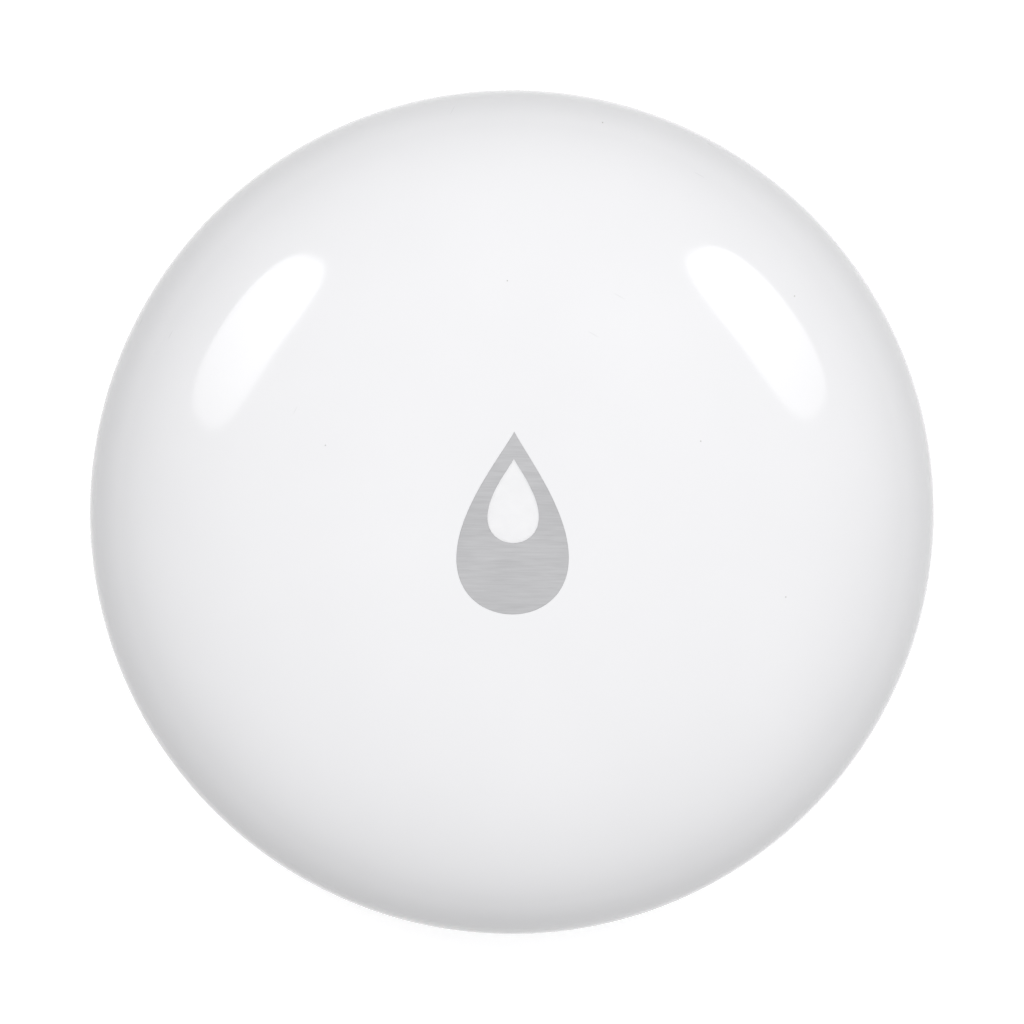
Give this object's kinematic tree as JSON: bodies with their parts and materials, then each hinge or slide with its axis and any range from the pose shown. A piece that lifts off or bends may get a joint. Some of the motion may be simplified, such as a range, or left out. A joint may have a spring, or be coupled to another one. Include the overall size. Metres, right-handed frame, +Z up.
{
  "type": "water leak sensor",
  "caption": "Round pebble-shaped water leak sensor with a water-drop push key on top, twist-off battery cover and metal probes underneath.",
  "frame": {"origin": "on the floor, under the middle of the puck", "axes": "+Z up through the dome, +Y towards the tip of the drop, +X to the right of the drop seen from above"},
  "size_m": [0.05, 0.05, 0.015],
  "materials": {
    "gloss_white": "polished white ABS",
    "satin_white": "fine-textured white ABS",
    "brushed_drop": "fine horizontal brushing, clear coated",
    "opal_guide": "opal polycarbonate",
    "clear_silicone": "translucent silicone",
    "black_rubber": "moulded nitrile",
    "grey_silicone": "moulded silicone",
    "board_laminate": "green solder mask on glass laminate",
    "stainless": "stainless steel",
    "zinc_steel": "zinc-plated steel",
    "nickel": "nickel-plated steel",
    "spring_bronze": "phosphor bronze, gold flashed",
    "copper": "tinned copper under mask",
    "black_epoxy": "moulded epoxy",
    "led_body": "clear epoxy over a phosphor",
    "ceramic_brown": "ceramic with tinned ends",
    "ceramic_black": "resistor film under glass",
    "black_nylon": "glass-filled nylon",
    "plunger_black": "moulded nylon"
  },
  "bodies": {
    "housing": {"top_shell": "gloss_white", "base_housing": "satin_white", "shell_seal": "grey_silicone", "circuit_board": "board_laminate", "board_screws": "zinc_steel", "radio_chip": "black_epoxy", "flash_chip": "black_epoxy", "crystal": "nickel", "antenna_trace": "copper", "status_led": "led_body", "switch_body": "black_nylon", "switch_terminals": "nickel", "chip_capacitors": "ceramic_brown", "chip_resistors": "ceramic_black", "battery_holder": "black_nylon", "cell_can": "nickel", "cell_gasket": "clear_silicone", "cell_cap": "nickel", "negative_contact": "spring_bronze", "positive_contact": "spring_bronze", "probe_contacts": "spring_bronze"},
    "drop_key": {"drop_key": "brushed_drop", "drop_lens": "opal_guide", "key_membrane": "clear_silicone"},
    "switch_plunger": {"switch_plunger": "plunger_black"},
    "cover_seal": {"cover_seal": "black_rubber"},
    "battery_cover": {"battery_cover": "satin_white", "probe_screws": "stainless", "probe_seals": "black_rubber", "probe_nuts": "stainless"}
  },
  "joints": [
    {"name": "key_press", "type": "slide", "parent": "housing", "child": "drop_key", "axis": [0, 0, -1], "range_m": [0, 0.0003], "stiffness_N_per_m": 2500, "deforming": ["key_membrane"]},
    {"name": "plunger_press", "type": "slide", "parent": "housing", "child": "switch_plunger", "axis": [0, 0, -1], "range_m": [0, 0.0003]},
    {"name": "cover_draw", "type": "slide", "parent": "housing", "child": "cover_seal", "axis": [0, 0, -1], "range_m": [0, 0.00601]},
    {"name": "cover_twist", "type": "hinge", "parent": "cover_seal", "child": "battery_cover", "pos_m": [0, 0, 0.0018], "axis": [0, 0, -1], "range_deg": [0, 90]}
  ],
  "couplings": [
    {"joint": "plunger_press", "follows": "key_press", "ratio": 1},
    {"joint": "cover_draw", "follows": "cover_twist", "m_per_rad": 0.0038197}
  ]
}
